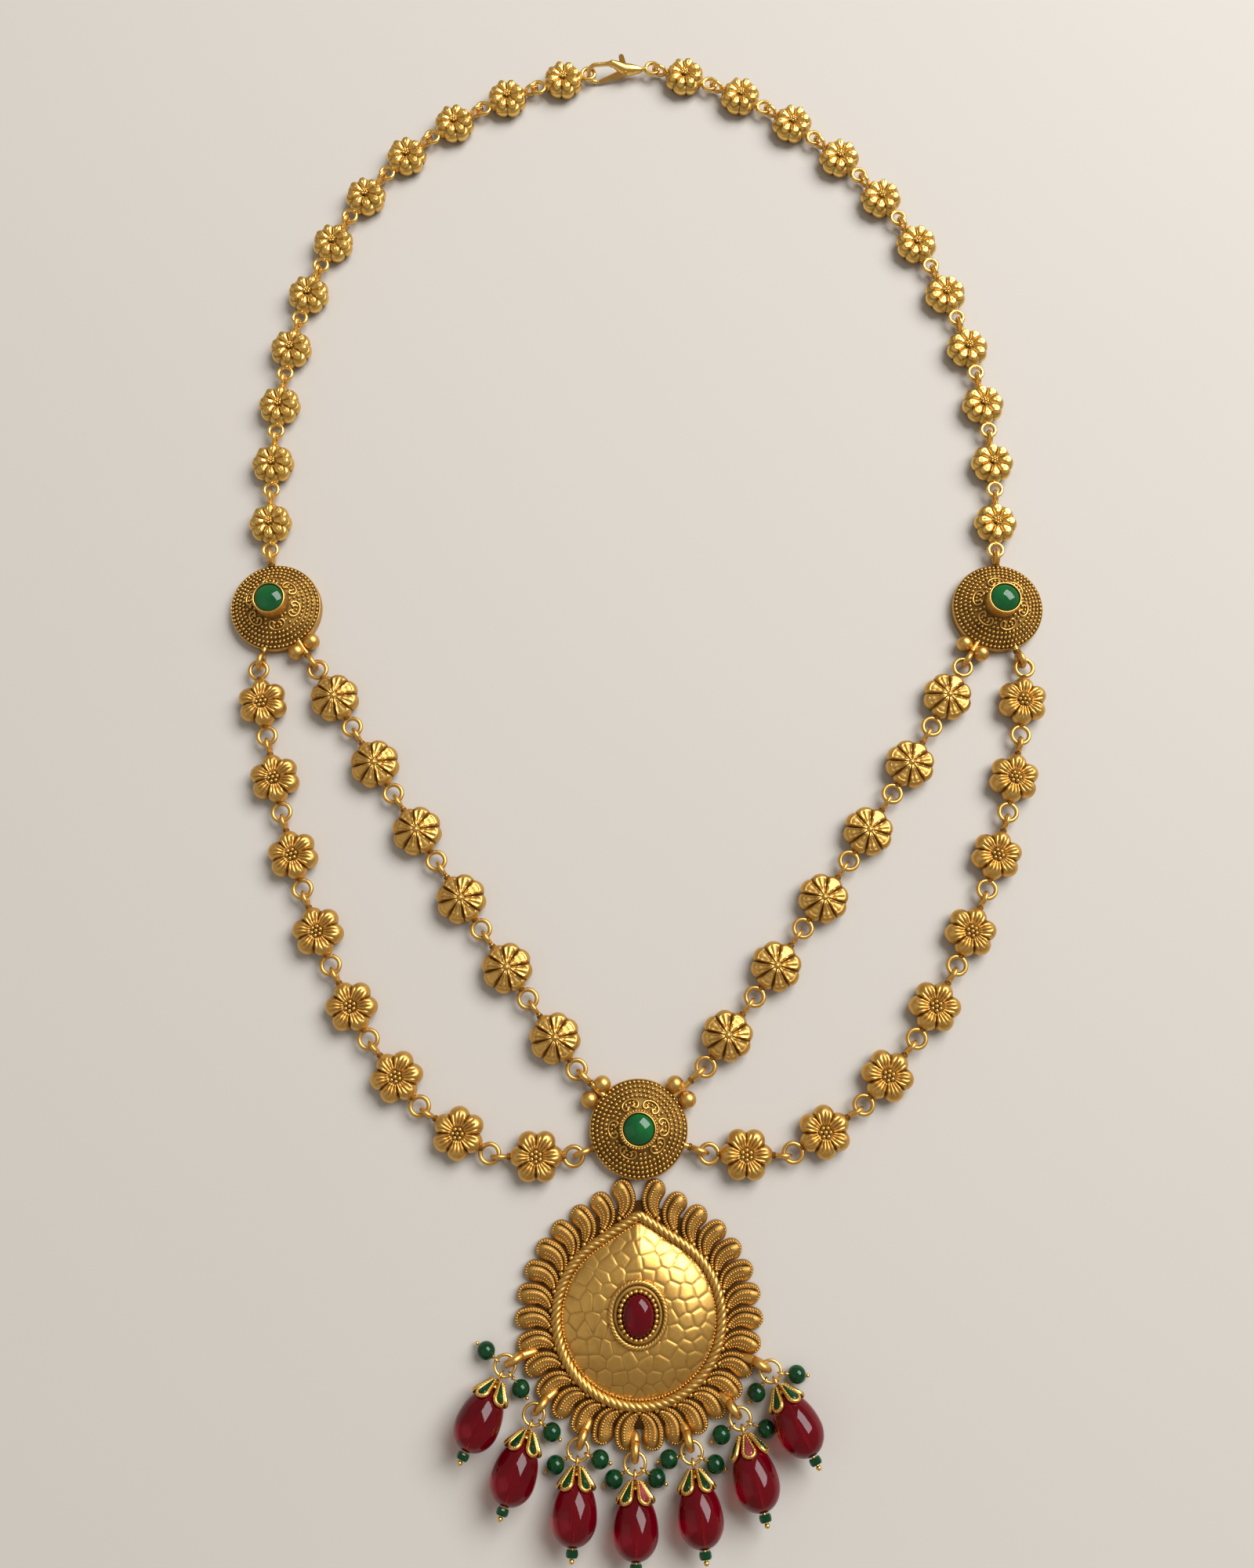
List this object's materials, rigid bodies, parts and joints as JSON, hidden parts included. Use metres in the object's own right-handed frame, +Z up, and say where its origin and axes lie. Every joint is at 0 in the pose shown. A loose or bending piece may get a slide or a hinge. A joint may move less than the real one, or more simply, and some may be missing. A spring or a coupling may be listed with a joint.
{
  "type": "layered necklace",
  "caption": "Layered necklace of flower links with round medallions, a teardrop pendant, red drops and a lobster claw clasp, lying flat.",
  "frame": {"origin": "middle of the necklace's outline on the surface that it lies on", "axes": "+Y from the drops towards the clasp, +Z up from the surface, +X to the right in the picture"},
  "size_m": [0.1718, 0.3203, 0.009],
  "materials": {
    "antique_gold": "antique, dark in the grooves",
    "bright_gold": "polished",
    "emerald": "polished green glass",
    "ruby": "polished red glass"
  },
  "bodies": {
    "necklace": {"centre_medallion": "antique_gold", "centre_stone": "emerald", "charm_beads": "emerald", "charm_wires": "bright_gold", "clasp_body": "bright_gold", "drop_bead_1": "ruby", "drop_bead_2": "ruby", "drop_bead_3": "ruby", "drop_bead_4": "ruby", "drop_bead_5": "ruby", "drop_bead_6": "ruby", "drop_bead_7": "ruby", "drop_cap_1": "antique_gold", "drop_cap_2": "antique_gold", "drop_cap_3": "antique_gold", "drop_cap_4": "antique_gold", "drop_cap_5": "antique_gold", "drop_cap_6": "antique_gold", "drop_cap_7": "antique_gold", "drop_pin_1": "bright_gold", "drop_pin_2": "bright_gold", "drop_pin_3": "bright_gold", "drop_pin_4": "bright_gold", "drop_pin_5": "bright_gold", "drop_pin_6": "bright_gold", "drop_pin_7": "bright_gold", "drop_ring_1": "bright_gold", "drop_ring_2": "bright_gold", "drop_ring_3": "bright_gold", "drop_ring_4": "bright_gold", "drop_ring_5": "bright_gold", "drop_ring_6": "bright_gold", "drop_ring_7": "bright_gold", "drop_rondelle_1": "emerald", "drop_rondelle_2": "emerald", "drop_rondelle_3": "emerald", "drop_rondelle_4": "emerald", "drop_rondelle_5": "emerald", "drop_rondelle_6": "emerald", "drop_rondelle_7": "emerald", "inner_strand_left": "antique_gold", "inner_strand_right": "antique_gold", "leaf_stones": "emerald", "outer_strand_left": "antique_gold", "outer_strand_right": "antique_gold", "pendant": "antique_gold", "pendant_stone": "ruby", "side_medallion_left": "antique_gold", "side_medallion_right": "antique_gold", "side_stone_left": "emerald", "side_stone_right": "emerald", "upper_chain_left": "bright_gold", "upper_chain_right": "bright_gold"},
    "lever": {"clasp_lever": "antique_gold"}
  },
  "joints": [
    {"name": "lever_pivot", "type": "hinge", "parent": "necklace", "child": "lever", "pos_m": [-0.00278, 0.15763, 0.00186], "axis": [-0.0806, 0.7839, -0.6157], "range_deg": [0, 16], "stiffness_Nm_per_rad": 0.008, "springref_deg": -8.59}
  ]
}
